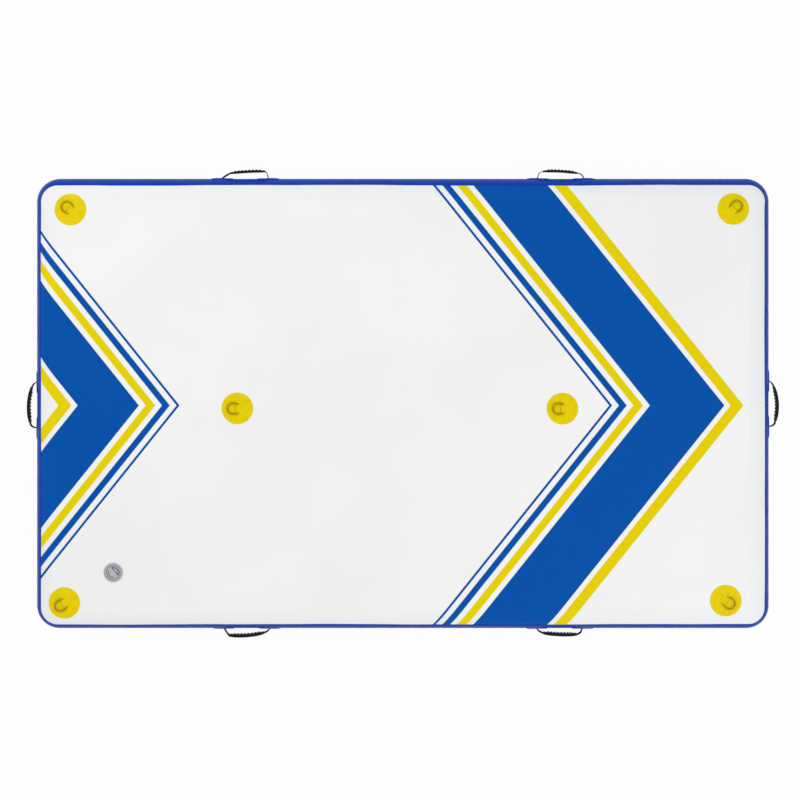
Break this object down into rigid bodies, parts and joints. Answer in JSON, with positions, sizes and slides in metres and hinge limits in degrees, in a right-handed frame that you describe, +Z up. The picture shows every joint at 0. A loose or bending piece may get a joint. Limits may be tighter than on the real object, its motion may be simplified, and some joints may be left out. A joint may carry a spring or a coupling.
{
  "type": "inflatable dock platform",
  "caption": "Flat inflatable platform with a rounded blue side wall, webbing handles with moulded grips, D-rings on round deck patches and a push-button air valve.",
  "frame": {"origin": "centre of the flat underside, on the surface the platform rests on", "axes": "+X along the long side, away from the valve's end; +Y across, away from the valve's side; +Z up through the deck"},
  "size_m": [2.5101, 1.5632, 0.1602],
  "materials": {
    "white_pvc": "PVC-coated cloth, fine embossed non-slip weave, satin",
    "blue_pvc": "PVC-coated cloth, smooth satin",
    "grey_pvc": "PVC-coated cloth, matt",
    "core_cloth": "woven polyester base cloth and threads",
    "yellow_pvc": "welded PVC, satin",
    "steel": "polished stainless steel wire",
    "webbing": "woven webbing",
    "moulded_grip": "moulded soft plastic, matt",
    "valve_plastic": "moulded plastic, satin",
    "cap_plastic": "moulded plastic, satin",
    "seal_rubber": "soft moulded rubber",
    "spring_steel": "stainless spring wire"
  },
  "bodies": {
    "dock": {"base_skin": "grey_pvc", "deck_skin": "white_pvc", "drop_stitch_core": "core_cloth", "handle_patch_back_left_1": "blue_pvc", "handle_patch_back_left_2": "blue_pvc", "handle_patch_back_right_1": "blue_pvc", "handle_patch_back_right_2": "blue_pvc", "handle_patch_front_left_1": "blue_pvc", "handle_patch_front_left_2": "blue_pvc", "handle_patch_front_right_1": "blue_pvc", "handle_patch_front_right_2": "blue_pvc", "handle_patch_left_1": "blue_pvc", "handle_patch_left_2": "blue_pvc", "handle_patch_right_1": "blue_pvc", "handle_patch_right_2": "blue_pvc", "inner_side_wall": "blue_pvc", "ring_patch_back_left": "yellow_pvc", "ring_patch_back_right": "yellow_pvc", "ring_patch_front_left": "yellow_pvc", "ring_patch_front_right": "yellow_pvc", "ring_patch_mid_left": "yellow_pvc", "ring_patch_mid_right": "yellow_pvc", "ring_tab_back_left": "yellow_pvc", "ring_tab_back_right": "yellow_pvc", "ring_tab_front_left": "yellow_pvc", "ring_tab_front_right": "yellow_pvc", "ring_tab_mid_left": "yellow_pvc", "ring_tab_mid_right": "yellow_pvc", "side_wall": "blue_pvc", "valve_body": "valve_plastic", "valve_nut": "valve_plastic", "valve_seal": "seal_rubber", "valve_spring": "spring_steel"},
    "ring_back_left": {"d_ring_back_left": "steel"},
    "ring_back_right": {"d_ring_back_right": "steel"},
    "ring_front_left": {"d_ring_front_left": "steel"},
    "ring_front_right": {"d_ring_front_right": "steel"},
    "ring_mid_left": {"d_ring_mid_left": "steel"},
    "ring_mid_right": {"d_ring_mid_right": "steel"},
    "handle_back_left": {"handle_strap_back_left": "webbing", "handle_grip_back_left": "moulded_grip"},
    "handle_back_right": {"handle_strap_back_right": "webbing", "handle_grip_back_right": "moulded_grip"},
    "handle_front_left": {"handle_strap_front_left": "webbing", "handle_grip_front_left": "moulded_grip"},
    "handle_front_right": {"handle_strap_front_right": "webbing", "handle_grip_front_right": "moulded_grip"},
    "handle_left": {"handle_strap_left": "webbing", "handle_grip_left": "moulded_grip"},
    "handle_right": {"handle_strap_right": "webbing", "handle_grip_right": "moulded_grip"},
    "valve_diaphragm": {"valve_diaphragm": "seal_rubber"},
    "valve_stem": {"valve_stem": "valve_plastic"},
    "valve_cap_seal": {"valve_cap_seal": "seal_rubber"},
    "valve_cap": {"valve_cap": "cap_plastic"}
  },
  "joints": [
    {"name": "ring_back_left_swing", "type": "hinge", "parent": "dock", "child": "ring_back_left", "pos_m": [-1.09556, 0.64586, 0.15645], "axis": [0.6018, 0.7986, 0], "range_deg": [0, 180]},
    {"name": "ring_back_right_swing", "type": "hinge", "parent": "dock", "child": "ring_back_right", "pos_m": [1.08897, 0.64736, 0.15645], "axis": [0.6947, -0.7193, 0], "range_deg": [0, 180]},
    {"name": "ring_front_left_swing", "type": "hinge", "parent": "dock", "child": "ring_front_left", "pos_m": [-1.11606, -0.65141, 0.15645], "axis": [-0.5446, 0.8387, 0], "range_deg": [0, 180]},
    {"name": "ring_front_right_swing", "type": "hinge", "parent": "dock", "child": "ring_front_right", "pos_m": [1.06421, -0.64362, 0.15645], "axis": [-0.5878, -0.809, 0], "range_deg": [0, 180]},
    {"name": "ring_mid_left_swing", "type": "hinge", "parent": "dock", "child": "ring_mid_left", "pos_m": [-0.54534, -0.00974, 0.15645], "axis": [0, 1, 0], "range_deg": [0, 180]},
    {"name": "ring_mid_right_swing", "type": "hinge", "parent": "dock", "child": "ring_mid_right", "pos_m": [0.52594, -0.01049, 0.15645], "axis": [0, 1, 0], "range_deg": [0, 180]},
    {"name": "handle_back_left_swing", "type": "hinge", "parent": "dock", "child": "handle_back_left", "pos_m": [-0.52655, 0.754, 0.075], "axis": [1, 0, 0], "range_deg": [-45, 45]},
    {"name": "handle_back_right_swing", "type": "hinge", "parent": "dock", "child": "handle_back_right", "pos_m": [0.52728, 0.754, 0.075], "axis": [1, 0, 0], "range_deg": [-45, 45]},
    {"name": "handle_front_left_swing", "type": "hinge", "parent": "dock", "child": "handle_front_left", "pos_m": [-0.5207, -0.754, 0.075], "axis": [-1, 0, 0], "range_deg": [-45, 45]},
    {"name": "handle_front_right_swing", "type": "hinge", "parent": "dock", "child": "handle_front_right", "pos_m": [0.52301, -0.754, 0.075], "axis": [-1, 0, 0], "range_deg": [-45, 45]},
    {"name": "handle_left_swing", "type": "hinge", "parent": "dock", "child": "handle_left", "pos_m": [-1.225, -0.00561, 0.075], "axis": [0, 1, 0], "range_deg": [-45, 45]},
    {"name": "handle_right_swing", "type": "hinge", "parent": "dock", "child": "handle_right", "pos_m": [1.225, -0.00134, 0.075], "axis": [0, -1, 0], "range_deg": [-45, 45]},
    {"name": "valve_push", "type": "slide", "parent": "dock", "child": "valve_diaphragm", "axis": [0, 0, -1], "range_m": [0, 0.005], "stiffness_N_per_m": 600, "springref_m": -0.003, "deforming": ["valve_spring"]},
    {"name": "valve_lock_turn", "type": "hinge", "parent": "valve_diaphragm", "child": "valve_stem", "pos_m": [-0.95428, -0.55044, 0.1363], "axis": [0, 0, 1], "range_deg": [0, 90]},
    {"name": "cap_lift", "type": "slide", "parent": "dock", "child": "valve_cap_seal", "axis": [0, 0, 1], "range_m": [0, 0.03]},
    {"name": "cap_turn", "type": "hinge", "parent": "valve_cap_seal", "child": "valve_cap", "pos_m": [-0.95428, -0.55044, 0.1554], "axis": [0, 0, 1], "range_deg": [0, 90]}
  ]
}
